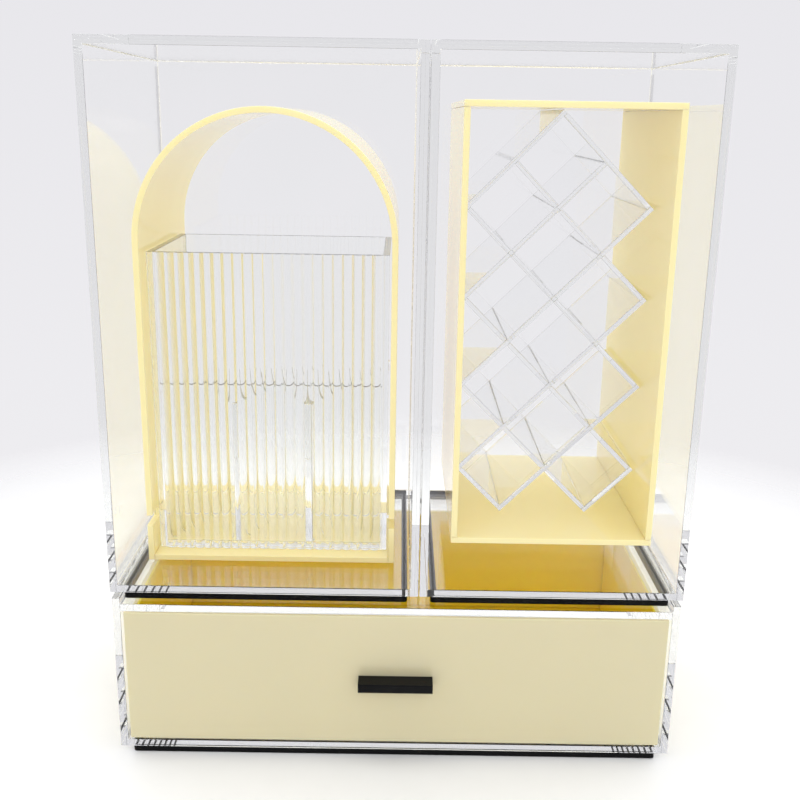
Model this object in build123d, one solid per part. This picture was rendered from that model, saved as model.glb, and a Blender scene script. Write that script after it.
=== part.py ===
"""Clear vanity organiser: a drawer unit with two display cases stacked on it.

The left case holds a cream arch with a reeded brush pocket inside.  The right case
holds a cream frame with a clear diamond lattice for lipsticks.  Every sheet is its
own solid.  Millimetres, +X right, +Y to the back, +Z up, with the origin under the
middle of the bounding box, on the surface that the organiser stands on.
"""
from build123d import *
from math import sqrt
import os

os.makedirs("parts", exist_ok=True)

# ---------------------------------------------------------------- driving dimensions
# Sheets and the thin lines between bonded sheets
clear_sheet = 3.3
cream_sheet = 2.5
bond_line = 0.1

# Black foot frames
foot_height = 2.8
foot_strip = 2.5
foot_corner_radius = 1.5
foot_front_inset = 0.5
foot_back_inset = 0.5
base_foot_inset = 5.1
case_foot_middle_inset = 4.6

# Drawer unit, a little narrower than the two cases on it
base_side_step = 2.0
base_height = 70.0

# Drawer
drawer_front_sheet = 3.3
drawer_side_gap = 1.1
drawer_top_gap = 0.6
drawer_bottom_gap = 0.8
drawer_box_inset = 0.4
drawer_wall_drop = 5.1
drawer_slide_clearance = 0.2
drawer_back_clearance = 1.0

# Handle bar
handle_width = 31.3
handle_reach = 7.6
handle_height = 3.9
handle_chamfer = 0.5

# Display cases and how they nest on the drawer unit
left_case_width = 129.0
right_case_width = 110.5
case_depth = 120.0
case_height = 220.3
case_gap = 0.5
case_setback = 5.0
nest_clearance = 0.4
seat_clearance = 0.2

# Arch, centred in the left case
arch_side_gap = 7.2
arch_top_gap = 20.4
arch_setback = 25.3

# Brush pocket
pocket_side_gap = 1.0
pocket_slide_clearance = 0.3
pocket_setback = 7.2
pocket_depth = 69.0
pocket_top_drop = 4.6
pocket_sheet = 2.8
pocket_front_sheet = 2.0
reed_count = 23
reed_margin = 3.25
reed_rise = 1.0
divider_sheet = 2.0
divider_height = 64.0
divider_clearance = 0.2
lap_clearance = 0.1

# Pegs that ride in the arch's notches, and bumper discs above them
peg_diameter = 3.8
peg_length = 2.6
peg_rise = 15.8
peg_back = 4.5
peg_clearance = 0.3
bumper_diameter = 4.6
bumper_thickness = 0.4
bumper_drop = 47.4

# Lipstick frame and lattice
frame_setback = 10.0
slat_sheet = 2.0
lattice_pitch = 19.05
lattice_rows = 8
lattice_back_gap = 0.5
lattice_depth = 76.0
lattice_clearance = 0.25

# ---------------------------------------------------------------- derived places
# Widths
pair_half = (left_case_width + case_gap + right_case_width) / 2
left_case_x = (-pair_half, left_case_width - pair_half)
right_case_x = (pair_half - right_case_width, pair_half)
base_x = (base_side_step - pair_half, pair_half - base_side_step)

# Depths; the backs of all three modules are flush
base_depth = case_setback + case_depth
handle_front = -(base_depth + handle_reach) / 2
base_y = (handle_front + handle_reach, handle_front + handle_reach + base_depth)
case_y = (base_y[0] + case_setback, base_y[0] + case_setback + case_depth)

# Heights
base_z = (foot_height, foot_height + base_height)
foot_recess = foot_height - seat_clearance
base_bottom_z = (base_z[0], base_z[0] + clear_sheet)
base_top_z = (base_z[1] - foot_recess - clear_sheet, base_z[1] - foot_recess)
case_z = (base_z[1] + seat_clearance, base_z[1] + seat_clearance + case_height)
case_floor_top = case_z[0] + clear_sheet

# The feet of the cases stand in from the outer case walls, so that they drop between
# the side panels of the drawer unit.
case_foot_outer_inset = base_side_step + clear_sheet + nest_clearance


# ---------------------------------------------------------------- helpers
def slab(x_span, y_span, z_span):
    """A rectangular sheet between the given lowest and highest values."""
    spans = (x_span, y_span, z_span)
    centre = [(low + high) / 2 for low, high in spans]
    size = [high - low for low, high in spans]
    return Pos(*centre) * Box(*size)


def inset(span, low, high=None):
    """The span drawn in by the given amounts at its two ends."""
    return (span[0] + low, span[1] - (low if high is None else high))


def foot_frame(x_span, y_span, z_low):
    """A flat rectangular ring with rounded outer corners."""
    width = x_span[1] - x_span[0]
    depth = y_span[1] - y_span[0]
    centre = (sum(x_span) / 2, sum(y_span) / 2, z_low)
    ring = RectangleRounded(width, depth, foot_corner_radius)
    ring -= Rectangle(width - 2 * foot_strip, depth - 2 * foot_strip)
    return Pos(*centre) * extrude(ring, foot_height)


def save(name, solid):
    """Write one node's STEP file."""
    solid.label = name
    export_step(solid, f"parts/{name}.step")


# ---------------------------------------------------------------- drawer unit
def build_drawer_unit():
    """The fixed clear housing of the drawer, with its black foot frame."""
    inner_x = inset(base_x, clear_sheet + bond_line)
    back_y = (base_y[1] - clear_sheet, base_y[1])
    back_z = (base_bottom_z[1] + bond_line, base_top_z[0] - bond_line)
    save("base_side_left", slab((base_x[0], base_x[0] + clear_sheet), base_y, base_z))
    save("base_side_right", slab((base_x[1] - clear_sheet, base_x[1]), base_y, base_z))
    save("base_top_plate", slab(inner_x, base_y, base_top_z))
    save("base_bottom_plate", slab(inner_x, base_y, base_bottom_z))
    save("base_back_panel", slab(inner_x, back_y, back_z))
    foot_x = inset(base_x, base_foot_inset)
    foot_y = inset(base_y, foot_front_inset, foot_back_inset)
    save("base_foot_frame", foot_frame(foot_x, foot_y, 0))


# ---------------------------------------------------------------- drawer
def build_drawer():
    """The cream drawer box behind its front, with the black handle bar."""
    front_x = inset(base_x, clear_sheet + drawer_side_gap)
    front_y = (base_y[0], base_y[0] + drawer_front_sheet)
    front_z = (base_bottom_z[1] + drawer_bottom_gap, base_top_z[0] - drawer_top_gap)
    save("drawer_front", slab(front_x, front_y, front_z))

    box_x = inset(front_x, drawer_box_inset)
    box_y = (front_y[1] + bond_line, base_y[1] - clear_sheet - drawer_back_clearance)
    floor_low = base_bottom_z[1] + drawer_slide_clearance
    floor_z = (floor_low, floor_low + cream_sheet)
    wall_z = (floor_z[1] + bond_line, front_z[1] - drawer_wall_drop)
    inner_x = inset(box_x, cream_sheet + bond_line)
    save("drawer_bottom", slab(box_x, box_y, floor_z))
    save("drawer_side_left", slab((box_x[0], box_x[0] + cream_sheet), box_y, wall_z))
    save("drawer_side_right", slab((box_x[1] - cream_sheet, box_x[1]), box_y, wall_z))
    save("drawer_back", slab(inner_x, (box_y[1] - cream_sheet, box_y[1]), wall_z))

    middle_z = (front_z[0] + front_z[1]) / 2
    bar = slab(
        (-handle_width / 2, handle_width / 2),
        (handle_front, front_y[0]),
        (middle_z - handle_height / 2, middle_z + handle_height / 2),
    )
    bar = chamfer(bar.faces().sort_by(Axis.Y)[0].edges(), handle_chamfer)
    save("drawer_handle", bar)


# ---------------------------------------------------------------- display cases
def build_case(name, case_x, foot_x):
    """One clear case, open at the front, on a black foot frame."""
    inner_x = inset(case_x, clear_sheet + bond_line)
    top_z = (case_z[1] - clear_sheet, case_z[1])
    floor_z = (case_z[0], case_floor_top)
    back_y = (case_y[1] - clear_sheet, case_y[1])
    back_z = (floor_z[1] + bond_line, top_z[0] - bond_line)
    save(f"{name}_side_left", slab((case_x[0], case_x[0] + clear_sheet), case_y, case_z))
    save(f"{name}_side_right", slab((case_x[1] - clear_sheet, case_x[1]), case_y, case_z))
    save(f"{name}_top", slab(inner_x, case_y, top_z))
    save(f"{name}_floor", slab(inner_x, case_y, floor_z))
    save(f"{name}_back", slab(inner_x, back_y, back_z))
    foot_y = inset(case_y, foot_front_inset, foot_back_inset)
    save(f"{name}_foot_frame", foot_frame(foot_x, foot_y, case_z[0] - foot_height))


# ---------------------------------------------------------------- arch
arch_centre_x = sum(left_case_x) / 2
arch_x = inset(left_case_x, clear_sheet + arch_side_gap)
arch_y = (case_y[0] + arch_setback, case_y[1] - clear_sheet - bond_line)
arch_z = (case_floor_top + bond_line, case_z[1] - clear_sheet - arch_top_gap)
arch_width = arch_x[1] - arch_x[0]
arch_spring_z = arch_z[1] - arch_width / 2

# The pocket stands on the arch's floor plate; its pegs ride in the arch's notches.
pocket_x = inset(arch_x, cream_sheet + pocket_side_gap)
pocket_y = (arch_y[0] + pocket_setback, arch_y[0] + pocket_setback + pocket_depth)
pocket_z = (arch_z[0] + cream_sheet + pocket_slide_clearance, arch_spring_z - pocket_top_drop)
peg_y = pocket_y[0] + peg_back
peg_z = pocket_z[0] + peg_rise


def arch_profile(half_width, low):
    """Upright sides closed by a half circle, as a face in the XZ plane."""
    left = arch_centre_x - half_width
    right = arch_centre_x + half_width
    outline = Polyline(
        (left, 0, arch_spring_z),
        (left, 0, low),
        (right, 0, low),
        (right, 0, arch_spring_z),
    )
    crown = ThreePointArc(
        (right, 0, arch_spring_z),
        (arch_centre_x, 0, arch_spring_z + half_width),
        (left, 0, arch_spring_z),
    )
    return make_face(outline.edges() + crown.edges())


def build_arch():
    """The cream arch: a bent shell, notched at the front, and its floor plate."""
    depth = arch_y[1] - arch_y[0]
    outer = extrude(arch_profile(arch_width / 2, arch_z[0]), depth, dir=(0, 1, 0))
    inner_half = arch_width / 2 - cream_sheet
    inner = extrude(arch_profile(inner_half, arch_z[0] - cream_sheet), depth, dir=(0, 1, 0))
    shell = Pos(0, arch_y[0], 0) * (outer - inner)
    notch_half = peg_diameter / 2 + peg_clearance
    notch = slab(arch_x, (arch_y[0] - notch_half, peg_y), (peg_z - notch_half, peg_z + notch_half))
    notch += Pos(arch_centre_x, peg_y, peg_z) * Rot(0, 90, 0) * Cylinder(notch_half, arch_width)
    save("arch_shell", shell - notch)
    floor_x = inset(arch_x, cream_sheet + bond_line)
    save("arch_floor", slab(floor_x, arch_y, (arch_z[0], arch_z[0] + cream_sheet)))


# ---------------------------------------------------------------- brush pocket
def reeded_front():
    """A flat sheet whose front swells into rounded vertical reeds."""
    back = pocket_y[0] + reed_rise + pocket_front_sheet
    valley = pocket_y[0] + reed_rise
    first, last = inset(pocket_x, reed_margin)
    reed_pitch = (last - first) / reed_count
    edges = [Edge.make_line((pocket_x[0], valley), (first, valley))]
    for index in range(reed_count):
        start = first + index * reed_pitch
        crest = (start + reed_pitch / 2, pocket_y[0])
        arc = ThreePointArc((start, valley), crest, (start + reed_pitch, valley))
        edges.append(arc.edge())
    edges.append(Edge.make_line((last, valley), (pocket_x[1], valley)))
    edges.append(Edge.make_line((pocket_x[1], valley), (pocket_x[1], back)))
    edges.append(Edge.make_line((pocket_x[1], back), (pocket_x[0], back)))
    edges.append(Edge.make_line((pocket_x[0], back), (pocket_x[0], valley)))
    return Pos(0, 0, pocket_z[0]) * extrude(make_face(edges), pocket_z[1] - pocket_z[0])


def build_pocket():
    """The clear open-topped pocket and the low dividers that stand in it."""
    front_back = pocket_y[0] + reed_rise + pocket_front_sheet
    side_y = (front_back + bond_line, pocket_y[1])
    inner_x = inset(pocket_x, pocket_sheet + bond_line)
    back_y = (pocket_y[1] - pocket_sheet, pocket_y[1])
    floor_y = (side_y[0], back_y[0] - bond_line)
    floor_z = (pocket_z[0], pocket_z[0] + pocket_sheet)
    save("pocket_front", reeded_front())
    save("pocket_side_left", slab((pocket_x[0], pocket_x[0] + pocket_sheet), side_y, pocket_z))
    save("pocket_side_right", slab((pocket_x[1] - pocket_sheet, pocket_x[1]), side_y, pocket_z))
    save("pocket_back", slab(inner_x, back_y, pocket_z))
    save("pocket_floor", slab(inner_x, floor_y, floor_z))

    divider_z = (floor_z[1] + bond_line, floor_z[1] + bond_line + divider_height)
    lap_z = sum(divider_z) / 2
    middle_y = sum(floor_y) / 2
    divider_y = inset(floor_y, divider_clearance)
    wall_y = (middle_y - divider_sheet / 2, middle_y + divider_sheet / 2)
    wall = slab(inset(inner_x, divider_clearance), wall_y, divider_z)
    third = (inner_x[1] - inner_x[0]) / 3
    for name, middle_x in (("left", inner_x[0] + third), ("right", inner_x[1] - third)):
        slot_x = (middle_x - divider_sheet / 2, middle_x + divider_sheet / 2)
        divider = slab(slot_x, divider_y, divider_z)
        divider -= slab(slot_x, inset(wall_y, -lap_clearance), (lap_z, divider_z[1]))
        save(f"pocket_divider_{name}", divider)
        wall -= slab(inset(slot_x, -lap_clearance), wall_y, (divider_z[0], lap_z + lap_clearance))
    save("pocket_mid_wall", wall)

    bumper_z = pocket_z[1] - bumper_drop
    for name, face_x, outward in (("left", pocket_x[0], -1), ("right", pocket_x[1], 1)):
        peg_x = face_x + outward * peg_length / 2
        peg = Cylinder(peg_diameter / 2, peg_length)
        save(f"pocket_peg_{name}", Pos(peg_x, peg_y, peg_z) * Rot(0, 90, 0) * peg)
        bumper_x = face_x + outward * bumper_thickness / 2
        bumper = Cylinder(bumper_diameter / 2, bumper_thickness)
        save(f"pocket_bumper_{name}", Pos(bumper_x, peg_y, bumper_z) * Rot(0, 90, 0) * bumper)


# ---------------------------------------------------------------- lipstick frame
# The lattice's outermost corners stand half a slat's diagonal beyond the crossings.
lattice_tip = slat_sheet / sqrt(2)
lattice_columns = 4
frame_centre_x = sum(right_case_x) / 2
frame_centre_z = (case_floor_top + case_z[1] - clear_sheet) / 2
frame_half_x = lattice_columns * lattice_pitch / 2 + lattice_tip + lattice_clearance + cream_sheet
frame_half_z = (lattice_rows + 1) * lattice_pitch / 2 + lattice_tip + lattice_clearance + cream_sheet
frame_x = (frame_centre_x - frame_half_x, frame_centre_x + frame_half_x)
frame_y = (case_y[0] + frame_setback, case_y[1] - clear_sheet - bond_line)
frame_z = (frame_centre_z - frame_half_z, frame_centre_z + frame_half_z)


def build_lipstick_frame():
    """Four cream boards around the lattice, bonded to the back of the case."""
    side_z = inset(frame_z, cream_sheet + bond_line)
    save("lipstick_frame_left", slab((frame_x[0], frame_x[0] + cream_sheet), frame_y, side_z))
    save("lipstick_frame_right", slab((frame_x[1] - cream_sheet, frame_x[1]), frame_y, side_z))
    save("lipstick_frame_top", slab(frame_x, frame_y, (frame_z[1] - cream_sheet, frame_z[1])))
    save("lipstick_frame_bottom", slab(frame_x, frame_y, (frame_z[0], frame_z[0] + cream_sheet)))


# ---------------------------------------------------------------- lattice
lattice_back = case_y[1] - clear_sheet - lattice_back_gap
lattice_y = (lattice_back - lattice_depth, lattice_back)


def lattice_point(node):
    """The X and Z of a crossing, given as half-diagonal counts (column, level)."""
    column, level = node
    middle_level = (lattice_rows + 1) / 2
    x = frame_centre_x + (column - 1) * lattice_pitch
    z = frame_centre_z + (level - middle_level) * lattice_pitch
    return x, z


def lattice_lines():
    """The crossings on each falling and each rising slat, in order of column."""
    falling = {}
    rising = {}
    for row in range(1, lattice_rows + 1):
        for column in ([1] if row % 2 == 0 else [0, 2]):
            left, right = (column - 1, row), (column + 1, row)
            top, bottom = (column, row + 1), (column, row - 1)
            falling.setdefault(column + row + 1, set()).update((top, right))
            falling.setdefault(column + row - 1, set()).update((left, bottom))
            rising.setdefault(column - row - 1, set()).update((left, top))
            rising.setdefault(column - row + 1, set()).update((bottom, right))
    tidy = [[sorted(lines[key]) for key in sorted(lines)] for lines in (falling, rising)]
    return tidy[0], tidy[1]


def slat(nodes, crossings, end_steps, tilt, lap_y):
    """One board through its nodes, with a half-depth slot at every crossing."""
    start, end = lattice_point(nodes[0]), lattice_point(nodes[-1])
    length = sqrt(2) * (end[0] - start[0])
    low, high = -length / 2 - end_steps[0], length / 2 + end_steps[1]
    half = slat_sheet / 2
    board = slab((low, high), lattice_y, (-half, half))
    for node in nodes:
        if node in crossings:
            along = sqrt(2) * (lattice_point(node)[0] - start[0]) - length / 2
            slot_half = half + lap_clearance
            board -= slab((along - slot_half, along + slot_half), lap_y, (-half, half))
    middle_x = (start[0] + end[0]) / 2
    middle_z = (start[1] + end[1]) / 2
    return Pos(middle_x, 0, middle_z) * Rot(0, tilt, 0) * board


def build_lattice():
    """Falling boards are slotted from the front, rising boards from the back."""
    falling, rising = lattice_lines()
    falling_inside = {node for nodes in falling for node in nodes[1:-1]}
    rising_inside = {node for nodes in rising for node in nodes[1:-1]}
    crossings = falling_inside & rising_inside
    middle_y = sum(lattice_y) / 2
    butt = -slat_sheet / 2 - bond_line
    corner = slat_sheet / 2
    for index, nodes in enumerate(falling, start=1):
        lap_y = (lattice_y[0], middle_y + lap_clearance)
        board = slat(nodes, crossings, (butt, butt), 45, lap_y)
        save(f"lattice_falling_slat_{index}", board)
    for index, nodes in enumerate(rising, start=1):
        lap_y = (middle_y, lattice_y[1])
        ends = (nodes[0], nodes[-1])
        steps = [butt if node in falling_inside else corner for node in ends]
        board = slat(nodes, crossings, steps, -45, lap_y)
        save(f"lattice_rising_slat_{index}", board)


build_drawer_unit()
build_drawer()
left_foot_x = inset(left_case_x, case_foot_outer_inset, case_foot_middle_inset)
right_foot_x = inset(right_case_x, case_foot_middle_inset, case_foot_outer_inset)
build_case("left_case", left_case_x, left_foot_x)
build_case("right_case", right_case_x, right_foot_x)
build_arch()
build_pocket()
build_lipstick_frame()
build_lattice()
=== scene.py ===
import math

import bmesh
import bpy
from mathutils import Matrix, Vector


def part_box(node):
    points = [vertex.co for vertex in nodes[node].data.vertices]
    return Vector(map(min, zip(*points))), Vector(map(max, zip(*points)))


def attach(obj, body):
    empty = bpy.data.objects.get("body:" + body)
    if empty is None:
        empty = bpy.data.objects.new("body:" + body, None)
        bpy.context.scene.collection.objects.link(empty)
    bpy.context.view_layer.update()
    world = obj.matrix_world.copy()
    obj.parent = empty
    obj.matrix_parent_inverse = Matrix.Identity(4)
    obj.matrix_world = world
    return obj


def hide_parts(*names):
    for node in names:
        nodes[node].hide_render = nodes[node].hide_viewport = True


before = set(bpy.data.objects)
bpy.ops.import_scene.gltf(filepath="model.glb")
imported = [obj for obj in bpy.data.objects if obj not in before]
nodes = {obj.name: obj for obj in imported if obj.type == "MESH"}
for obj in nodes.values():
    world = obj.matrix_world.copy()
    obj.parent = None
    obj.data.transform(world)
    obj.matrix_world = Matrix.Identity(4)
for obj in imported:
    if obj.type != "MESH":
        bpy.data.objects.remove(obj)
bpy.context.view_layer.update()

scene = bpy.context.scene
MM = 0.001


# ---------------------------------------------------------------- node helpers
class Shader:
    """A small helper that adds and links nodes in one material or world."""

    def __init__(self, owner):
        owner.use_nodes = True
        self.tree = owner.node_tree
        self.tree.nodes.clear()

    def add(self, kind, settings=None, **inputs):
        """A new node; an underscore in an input's name stands for a space."""
        node = self.tree.nodes.new(kind)
        for name, value in (settings or {}).items():
            setattr(node, name, value)
        for name, value in inputs.items():
            self.set(node, name.replace("_", " "), value)
        return node

    def set(self, node, name, value):
        """Links a socket to an input, or gives the input a constant."""
        socket = node.inputs[int(name)] if name.isdigit() else node.inputs[name]
        if isinstance(value, bpy.types.NodeSocket):
            self.tree.links.new(value, socket)
        else:
            socket.default_value = value

    def link(self, node, pairs):
        """Sets inputs by name, or by number where names repeat."""
        for name, value in pairs.items():
            self.set(node, str(name), value)
        return node

    def noise(self, coords, scale, detail=2.0, roughness=0.5):
        node = self.add("ShaderNodeTexNoise", Scale=scale, Detail=detail, Roughness=roughness)
        self.tree.links.new(coords, node.inputs["Vector"])
        return node.outputs["Fac"]

    def spread(self, value, low, high, from_low=0.3, from_high=0.7):
        """Maps a value onto the wanted range; most of a noise lies between 0.3 and 0.7."""
        node = self.add("ShaderNodeMapRange")
        pairs = {"Value": value, "From Min": from_low, "From Max": from_high}
        pairs.update({"To Min": low, "To Max": high})
        self.link(node, pairs)
        return node.outputs["Result"]

    def blend(self, factor, first, second):
        """Mixes two colours."""
        node = self.add("ShaderNodeMix", {"data_type": "RGBA"})
        self.link(node, {0: factor, 6: first, 7: second})
        return node.outputs[2]

    def between_shaders(self, factor, first, second):
        """Mixes the outputs of two shader nodes."""
        node = self.add("ShaderNodeMixShader")
        self.link(node, {0: factor, 1: first.outputs[0], 2: second.outputs[0]})
        return node

    def math(self, operation, *values):
        """The result of one Math node."""
        node = self.add("ShaderNodeMath", {"operation": operation})
        self.link(node, dict(enumerate(values)))
        return node.outputs[0]

    def bump(self, height, strength, distance, normal=None):
        node = self.add("ShaderNodeBump", Strength=strength, Distance=distance, Height=height)
        if normal is not None:
            self.set(node, "Normal", normal)
        return node.outputs["Normal"]

    def coords(self):
        return self.add("ShaderNodeTexCoord").outputs["Object"]

    def cloudy(self, factor, light, deep):
        """A colour that drifts between two close tones with a noise."""
        return self.blend(self.spread(factor, 0.0, 1.0), rgba(light), rgba(deep))

    def finish(self, surface):
        return self.add("ShaderNodeOutputMaterial", Surface=surface.outputs[0])


def rgba(colour):
    return (*colour, 1.0)


# ---------------------------------------------------------------- materials
ACRYLIC_IOR = 1.49


def clear_acrylic(name, tint_low, tint_high, absorb, density, ripple, haze):
    """Clear cast sheet: faint ripple and haze, and a tint over long paths in the sheet.

    Rays that only carry light go straight through, so what stands inside is lit.
    """
    material = bpy.data.materials.new(name)
    shader = Shader(material)
    coords = shader.coords()
    broad = shader.noise(coords, scale=28.0)
    fine = shader.noise(coords, scale=420.0, detail=3.0, roughness=0.6)
    glass = shader.add("ShaderNodeBsdfPrincipled", IOR=ACRYLIC_IOR)
    shader.link(glass, {
        "Base Color": shader.cloudy(broad, tint_low, tint_high),
        "Transmission Weight": 1.0,
        "Roughness": shader.spread(fine, 0.0, haze),
        "Normal": shader.bump(broad, ripple, distance=1.0 * MM),
    })
    path = shader.add("ShaderNodeLightPath")
    straight = shader.add("ShaderNodeBsdfTransparent", Color=rgba(tint_high))
    inner = shader.between_shaders(path.outputs["Is Diffuse Ray"], glass, straight)
    outer = shader.between_shaders(path.outputs["Is Shadow Ray"], inner, straight)
    output = shader.finish(outer)
    volume = shader.add("ShaderNodeVolumeAbsorption", Color=rgba(absorb), Density=density)
    shader.set(output, "Volume", volume.outputs[0])
    return material


def within(shader, coords, low, high):
    """1 inside the box between two corners, 0 outside it."""
    parts = shader.add("ShaderNodeSeparateXYZ")
    shader.link(parts, {0: coords})
    inside = None
    for axis in range(3):
        middle = (low[axis] + high[axis]) / 2
        half = (high[axis] - low[axis]) / 2
        near = shader.math("COMPARE", parts.outputs[axis], middle, half)
        inside = near if inside is None else shader.math("MULTIPLY", inside, near)
    return inside


def sheet_acrylic(name, light, deep, roughness, ripple=0.06, gloss=0.5, glow=0.0, painted_bounce=None):
    """Opaque glossy sheet with slightly cloudy colour and a fine orange-peel surface.

    The painted bounce light for the faces inside a box is a deeper colour, given as (colour, low,
    high).
    """
    material = bpy.data.materials.new(name)
    shader = Shader(material)
    coords = shader.coords()
    cloud = shader.noise(coords, scale=16.0, detail=4.0, roughness=0.55)
    speck = shader.noise(coords, scale=1400.0)
    peel = shader.noise(coords, scale=110.0)
    colour = shader.cloudy(cloud, light, deep)
    if painted_bounce:
        inner, low_corner, high_corner = painted_bounce
        # The faces inside the box get painted bounce light: a deep gold in place of the cream.
        colour = shader.blend(within(shader, coords, low_corner, high_corner), colour, rgba(inner))
    skin = shader.add("ShaderNodeBsdfPrincipled", IOR=ACRYLIC_IOR, Specular_IOR_Level=gloss)
    if glow:
        shader.link(skin, {"Subsurface Weight": glow, "Subsurface Scale": 6.0 * MM})
        skin.inputs["Subsurface Radius"].default_value = (1.0, 0.75, 0.4)
    low, high = roughness
    orange_peel = shader.bump(peel, ripple, distance=0.5 * MM)
    shader.link(skin, {
        "Base Color": colour,
        "Roughness": shader.spread(speck, low, high),
        "Normal": shader.bump(speck, strength=0.03, distance=0.2 * MM, normal=orange_peel),
    })
    shader.finish(skin)
    return material


def bead_acrylic(name, light, deep):
    """The faintly milky line of cement in an inside corner."""
    material = bpy.data.materials.new(name)
    shader = Shader(material)
    flow = shader.noise(shader.coords(), scale=160.0, detail=3.0, roughness=0.6)
    skin = shader.add("ShaderNodeBsdfPrincipled", IOR=ACRYLIC_IOR)
    shader.link(skin, {
        "Base Color": shader.cloudy(flow, light, deep),
        "Transmission Weight": 0.35,
        "Roughness": shader.spread(flow, 0.15, 0.35),
        "Normal": shader.bump(flow, strength=0.04, distance=0.3 * MM),
    })
    shader.finish(skin)
    return material


case_clear = clear_acrylic(
    "case_clear_acrylic", tint_low=(0.985, 0.99, 0.985), tint_high=(0.998, 0.998, 0.996),
    absorb=(0.82, 0.83, 0.82), density=4.5, ripple=0.002, haze=0.01,
)
base_clear = clear_acrylic(
    "base_clear_acrylic", tint_low=(0.985, 0.99, 0.985), tint_high=(0.998, 0.998, 0.996),
    absorb=(0.83, 0.84, 0.84), density=4.5, ripple=0.002, haze=0.01,
)
pocket_clear = clear_acrylic(
    "pocket_clear_acrylic", tint_low=(0.98, 0.985, 0.98), tint_high=(0.99, 0.994, 0.992),
    absorb=(0.86, 0.87, 0.86), density=3.0, ripple=0.004, haze=0.01,
)
lattice_clear = clear_acrylic(
    "lattice_clear_acrylic", tint_low=(0.98, 0.984, 0.982), tint_high=(0.99, 0.994, 0.992),
    absorb=(0.86, 0.87, 0.87), density=3.0, ripple=0.004, haze=0.01,
)
bead = bead_acrylic("cement_bead", light=(0.90, 0.90, 0.90), deep=(0.97, 0.97, 0.96))


def drawer_lining(colour, reach):
    """The painted bounce light of the drawer's inside, and the corners of the box that holds it.

    The box reaches a little way into each sheet, so it takes in the sheet's inner face only.
    """
    left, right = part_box("drawer_side_left"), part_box("drawer_side_right")
    front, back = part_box("drawer_front"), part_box("drawer_back")
    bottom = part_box("drawer_bottom")
    low = (left[1][0] - reach, front[1][1] - reach, bottom[1][2] - reach)
    high = (right[0][0] + reach, back[0][1] + reach, front[1][2] + reach)
    return colour, low, high


# Light that bounces in the drawer turns its cream to deep gold; that gold is painted on the
# drawer's inner faces as painted bounce light.
PAINTED_BOUNCE_LIGHT = drawer_lining((1.0, 0.81, 0.05), reach=0.8 * MM)

cream = sheet_acrylic(
    "cream_acrylic", light=(0.96, 0.84, 0.46), deep=(0.94, 0.81, 0.43),
    roughness=(0.05, 0.10), ripple=0.02, gloss=0.4, glow=0.25,
)
# The drawer front's cream is darkened as painted shade, for a front face that the top light
# reaches less.
shaded_drawer_cream = sheet_acrylic(
    "drawer_front_shaded_cream_acrylic", light=(0.69, 0.625, 0.405), deep=(0.67, 0.61, 0.395),
    roughness=(0.12, 0.20), glow=0.2, painted_bounce=PAINTED_BOUNCE_LIGHT,
)
drawer_box = sheet_acrylic(
    "drawer_box_cream_acrylic", light=(0.94, 0.84, 0.55), deep=(0.92, 0.82, 0.52),
    roughness=(0.10, 0.18), gloss=0.3, glow=0.5, painted_bounce=PAINTED_BOUNCE_LIGHT,
)
black = sheet_acrylic(
    "black_acrylic", light=(0.003, 0.003, 0.0035), deep=(0.006, 0.006, 0.0065),
    roughness=(0.12, 0.22), gloss=0.10,
)


# ---------------------------------------------------------------- CAD nodes
CRISP_DEGREES = 12.0
ROUND_DEGREES = 35.0
WELD_DISTANCE = 1e-6


def geometry_group(name):
    """An empty modifier group with one geometry input and one geometry output."""
    group = bpy.data.node_groups.new(name, "GeometryNodeTree")
    group.interface.new_socket("Geometry", in_out="INPUT", socket_type="NodeSocketGeometry")
    group.interface.new_socket("Geometry", in_out="OUTPUT", socket_type="NodeSocketGeometry")
    return group, group.nodes.new("NodeGroupInput"), group.nodes.new("NodeGroupOutput")


def plain_group():
    """Drops the imported normals, which would be wrong on rounded edges."""
    group, source, target = geometry_group("plain_normals")
    drop = group.nodes.new("GeometryNodeRemoveAttribute")
    drop.inputs["Name"].default_value = "custom_normal"
    group.links.new(source.outputs[0], drop.inputs["Geometry"])
    group.links.new(drop.outputs[0], target.inputs[0])
    return group


def crisp_group(degrees):
    """Shades smooth, except over edges sharper than the angle."""
    group, source, target = geometry_group("crisp_edges")
    angle = group.nodes.new("GeometryNodeInputMeshEdgeAngle")
    sharper = group.nodes.new("FunctionNodeCompare")
    sharper.data_type = "FLOAT"
    sharper.operation = "GREATER_THAN"
    sharper.inputs[1].default_value = math.radians(degrees)
    faces = group.nodes.new("GeometryNodeSetShadeSmooth")
    faces.domain = "FACE"
    edges = group.nodes.new("GeometryNodeSetShadeSmooth")
    edges.domain = "EDGE"
    edges.inputs["Shade Smooth"].default_value = False
    group.links.new(source.outputs[0], faces.inputs["Geometry"])
    group.links.new(faces.outputs[0], edges.inputs["Geometry"])
    group.links.new(angle.outputs["Unsigned Angle"], sharper.inputs[0])
    group.links.new(sharper.outputs[0], edges.inputs["Selection"])
    group.links.new(edges.outputs[0], target.inputs[0])
    return group


PLAIN = plain_group()
CRISP = crisp_group(CRISP_DEGREES)


def add_bevel(obj, name, width, segments, limit):
    bevel = obj.modifiers.new(name, "BEVEL")
    bevel.width = width
    bevel.segments = segments
    bevel.limit_method = limit
    return bevel


def soften(obj, width):
    """Rounds the cut edges of a sheet a little and keeps its faces flat."""
    obj.modifiers.new("plain", "NODES").node_group = PLAIN
    weld = obj.modifiers.new("weld", "WELD")
    weld.merge_threshold = WELD_DISTANCE
    bevel = add_bevel(obj, "bevel", width, segments=2, limit="ANGLE")
    bevel.angle_limit = math.radians(ROUND_DEGREES)
    obj.modifiers.new("crisp", "NODES").node_group = CRISP


def dress(obj, material):
    """Gives the whole object one material."""
    obj.data.materials.clear()
    obj.data.materials.append(material)


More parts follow.
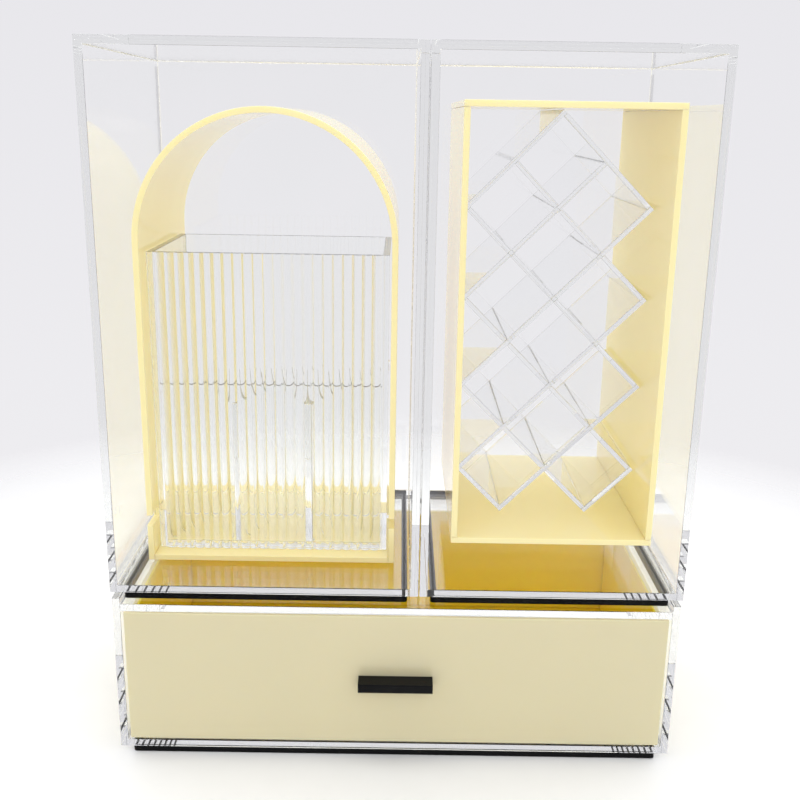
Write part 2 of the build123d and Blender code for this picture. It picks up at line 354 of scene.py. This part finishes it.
# The start of a node's name, its material and how far its edges are rounded, in mm.
# The first row that fits counts.
FINISH = (
    ("base_foot_frame", black, 0.15),
    ("left_case_foot_frame", black, 0.15),
    ("right_case_foot_frame", black, 0.15),
    ("base_", base_clear, 0.18),
    ("left_case_", case_clear, 0.18),
    ("right_case_", case_clear, 0.18),
    ("drawer_handle", black, 0.05),
    ("drawer_front", shaded_drawer_cream, 0.25),
    ("drawer_", drawer_box, 0.2),
    ("arch_", cream, 0.2),
    ("pocket_", pocket_clear, 0.12),
    ("lipstick_frame_", cream, 0.2),
    ("lattice_", lattice_clear, 0.12),
)

for name, obj in nodes.items():
    for prefix, material, edge in FINISH:
        if name.startswith(prefix):
            dress(obj, material)
            soften(obj, edge * MM)
            break


# ---------------------------------------------------------------- bonded clear bodies
# A black foot is cemented under each module.  The cement wets only the middle of its
# strip.  The rims stay dry, with a hair of air over them, as there is between the drawer
# unit's top plate and the feet of the cases.
DRY_RIM = 0.75 * MM
WETTED = 1.0 * MM
AIR = 0.03 * MM

BONDED_EDGE = 0.25 * MM
CEMENT_BEAD = 0.3 * MM
CORNER_RADIANS = 1.0
CLEAR_FACE, BLACK_FACE, BEAD_FACE = range(3)

# Grid lines that are the same to this many digits of a metre are one line.
GRID_DIGITS = 6


def between(value, span):
    return span[0] < value < span[1]


def cuts(*values):
    """The grid lines of one axis, in order."""
    return sorted({round(value, GRID_DIGITS) for value in values})


def mark_inside_corners(build):
    """Gives every concave edge a bevel weight of 1."""
    weights = build.edges.layers.float.new("bevel_weight_edge")
    for line in build.edges:
        inside_corner = not line.is_convex and line.calc_face_angle() > CORNER_RADIANS
        line[weights] = 1.0 if inside_corner else 0.0


def grid_body(name, xs, ys, zs, solid, under_black):
    """The skin of all the solid cells of a grid, with its underside black where asked."""
    build = bmesh.new()
    axes = (xs, ys, zs)
    corners = {}

    def corner(index):
        if index not in corners:
            corners[index] = build.verts.new([axis[step] for axis, step in zip(axes, index)])
        return corners[index]

    def middle(cell):
        return [(axis[step] + axis[step + 1]) / 2 for axis, step in zip(axes, cell)]

    def shifted(cell, *moves):
        index = list(cell)
        for axis, step in moves:
            index[axis] += step
        return tuple(index)

    filled = set()
    for i in range(len(xs) - 1):
        for j in range(len(ys) - 1):
            for k in range(len(zs) - 1):
                if solid(*middle((i, j, k))):
                    filled.add((i, j, k))
    for cell in sorted(filled):
        x, y, _ = middle(cell)
        for axis in range(3):
            first, second = (axis + 1) % 3, (axis + 2) % 3
            for side in (0, 1):
                if shifted(cell, (axis, 1 if side else -1)) in filled:
                    continue
                ring = []
                for step_first, step_second in ((0, 0), (1, 0), (1, 1), (0, 1)):
                    moves = ((axis, side), (first, step_first), (second, step_second))
                    ring.append(corner(shifted(cell, *moves)))
                face = build.faces.new(ring if side else ring[::-1])
                underside = axis == 2 and side == 0 and cell[2] == 0
                face.material_index = BLACK_FACE if underside and under_black(x, y) else CLEAR_FACE
    build.normal_update()
    mark_inside_corners(build)
    mesh = bpy.data.meshes.new(name)
    build.to_mesh(mesh)
    build.free()
    obj = bpy.data.objects.new(name, mesh)
    scene.collection.objects.link(obj)
    return obj


def bonded_body(module, body, low_sheet, high_sheet, back_sheet, clear, top_air=0.0):
    """One clear body for a module's five sheets, which are bonded edge to edge.

    The black foot is bonded on below, so there the underside is black, and the clear
    edges pick that up.
    """
    sheets = ("side_left", "side_right", low_sheet, high_sheet, back_sheet)
    names = [f"{module}_{sheet}" for sheet in sheets]
    left, right, low, high, back = (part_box(name) for name in names)
    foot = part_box(f"{module}_foot_frame")
    inner_x = (left[1][0], right[0][0])
    inner_z = (low[1][2], high[0][2])
    top_z = high[1][2] - top_air
    back_y = back[0][1]
    wet_outer = [(foot[0][axis] + DRY_RIM, foot[1][axis] - DRY_RIM) for axis in range(2)]
    wet_inner = [(span[0] + WETTED, span[1] - WETTED) for span in wet_outer]

    def solid(x, y, z):
        if not between(x, inner_x):
            return True
        if z > top_z:
            return False
        return y > back_y or not between(z, inner_z)

    def under_black(x, y):
        on_foot = between(x, wet_outer[0]) and between(y, wet_outer[1])
        return on_foot and not (between(x, wet_inner[0]) and between(y, wet_inner[1]))

    xs = cuts(left[0][0], *inner_x, right[1][0], *wet_outer[0], *wet_inner[0])
    ys = cuts(left[0][1], back_y, left[1][1], *wet_outer[1], *wet_inner[1])
    zs = cuts(left[0][2] + AIR, *inner_z, top_z, left[1][2])
    bonded = grid_body(f"{module}_bonded_sheets", xs, ys, zs, solid, under_black)
    for material in (clear, black, bead):
        bonded.data.materials.append(material)
    cement = add_bevel(bonded, "cement", CEMENT_BEAD, segments=3, limit="WEIGHT")
    cement.material = BEAD_FACE
    soften(bonded, BONDED_EDGE)
    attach(bonded, body)
    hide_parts(*names)


bonded_body("left_case", "left_case", "floor", "top", "back", case_clear)
bonded_body("right_case", "right_case", "floor", "top", "back", case_clear)
bonded_body(
    "base", "drawer_unit", "bottom_plate", "top_plate", "back_panel", base_clear, top_air=AIR)


# ---------------------------------------------------------------- studio
FLOOR_RADIUS = 1.1
FLOOR_DROP = 0.2 * MM
FLOOR_FADE = (0.25, 0.46)
BACKDROP_LOW = (0.87, 0.862, 0.885)
BACKDROP_HIGH = (0.795, 0.788, 0.822)
BACKDROP_HEIGHTS = (-0.45, 0.25)
FRONT_GREY = (0.70, 0.70, 0.72)
FRONT_TURN = (-0.6, 0.3)
ROOM_LIGHT = (0.97, 0.98, 1.0)
ROOM_STRENGTH = 0.94
AIM = (0.0, 0.0, 0.15)


def studio_floor():
    """A pale round floor that fades into the background at its rim."""
    mesh = bpy.data.meshes.new("studio_floor")
    build = bmesh.new()
    bmesh.ops.create_circle(build, cap_ends=True, segments=96, radius=FLOOR_RADIUS)
    build.to_mesh(mesh)
    build.free()
    floor = bpy.data.objects.new("studio_floor", mesh)
    scene.collection.objects.link(floor)
    floor.location.z = -FLOOR_DROP
    material = bpy.data.materials.new("studio_floor_white")
    shader = Shader(material)
    coords = shader.coords()
    radius = shader.add("ShaderNodeVectorMath", {"operation": "LENGTH"})
    shader.link(radius, {0: coords})
    fade = shader.spread(radius.outputs["Value"], 0.0, 1.0, *FLOOR_FADE)
    grain = shader.noise(coords, scale=60.0, detail=3.0)
    paper = shader.add("ShaderNodeBsdfPrincipled", Roughness=0.75)
    white = shader.cloudy(grain, light=(0.87, 0.87, 0.872), deep=(0.885, 0.885, 0.887))
    shader.link(paper, {"Base Color": white, "Specular IOR Level": 0.2})
    away = shader.add("ShaderNodeBsdfTransparent")
    shader.finish(shader.between_shaders(fade, paper, away))
    dress(floor, material)


def studio_world():
    """The camera and the glass see a pale backdrop; soft grey light comes from all round."""
    world = bpy.data.worlds.new("studio_world")
    scene.world = world
    shader = Shader(world)
    direction = shader.add("ShaderNodeTexCoord").outputs["Generated"]
    parts = shader.add("ShaderNodeSeparateXYZ")
    shader.link(parts, {0: direction})
    height = shader.spread(parts.outputs["Z"], 0.0, 1.0, *BACKDROP_HEIGHTS)
    backdrop = shader.blend(height, rgba(BACKDROP_LOW), rgba(BACKDROP_HIGH))
    front = shader.spread(parts.outputs["Y"], 1.0, 0.0, *FRONT_TURN)
    around = shader.blend(front, backdrop, rgba(FRONT_GREY))
    seen = shader.add("ShaderNodeBackground", Color=around, Strength=1.0)
    lit = shader.add("ShaderNodeBackground", Color=rgba(ROOM_LIGHT), Strength=ROOM_STRENGTH)
    path = shader.add("ShaderNodeLightPath")
    looking = path.outputs["Is Camera Ray"]
    for output in ("Is Glossy Ray", "Is Transmission Ray"):
        looking = shader.math("MAXIMUM", looking, path.outputs[output])
    mix = shader.between_shaders(looking, lit, seen)
    shader.add("ShaderNodeOutputWorld", Surface=mix.outputs[0])


def softbox(name, place, size, energy):
    """A rectangular lamp that looks at the object's middle."""
    lamp = bpy.data.lights.new(name, "AREA")
    lamp.shape = "RECTANGLE"
    lamp.size, lamp.size_y = size
    lamp.energy = energy
    obj = bpy.data.objects.new(name, lamp)
    scene.collection.objects.link(obj)
    obj.location = place
    aim = Vector(AIM) - Vector(place)
    obj.rotation_euler = aim.to_track_quat("-Z", "Y").to_euler()


def photo_camera():
    """The camera that was fitted to the photograph's corners, in an 800 by 800 frame."""
    place = (-0.00055, -0.43764, 0.26610)
    pitch, yaw, roll = 0.27333, -0.00164, 0.01591
    focal_pixels, frame_pixels = 1007.9, 800.0
    sensor_width = 36.0
    level_x, level_y = math.cos(yaw), math.sin(yaw)
    ahead = Vector((-level_y * math.cos(pitch), level_x * math.cos(pitch), -math.sin(pitch)))
    level = Vector((level_x, level_y, 0.0))
    raised = level.cross(ahead)
    right = level * math.cos(roll) + raised * math.sin(roll)
    up = -level * math.sin(roll) + raised * math.cos(roll)
    data = bpy.data.cameras.new("photo_camera")
    data.sensor_width = sensor_width
    data.lens = focal_pixels * sensor_width / frame_pixels
    data.clip_start = 10.0 * MM
    camera = bpy.data.objects.new("photo_camera", data)
    scene.collection.objects.link(camera)
    axes = Matrix((right, up, -ahead)).transposed()
    camera.matrix_world = Matrix.Translation(place) @ axes.to_4x4()
    scene.camera = camera


studio_floor()
studio_world()
softbox("top_softbox", place=(0.0, 0.2, 1.25), size=(1.3, 1.1), energy=8.5)
softbox("front_softbox", place=(0.35, -1.2, 0.9), size=(0.9, 0.7), energy=2.5)
photo_camera()

scene.view_settings.view_transform = "Standard"
# A ray meets many clear faces before it is out of the cases, the pocket and the lattice.
scene.cycles.max_bounces = 48
scene.cycles.transmission_bounces = 48
scene.cycles.glossy_bounces = 16
scene.cycles.diffuse_bounces = 8
scene.cycles.transparent_max_bounces = 96
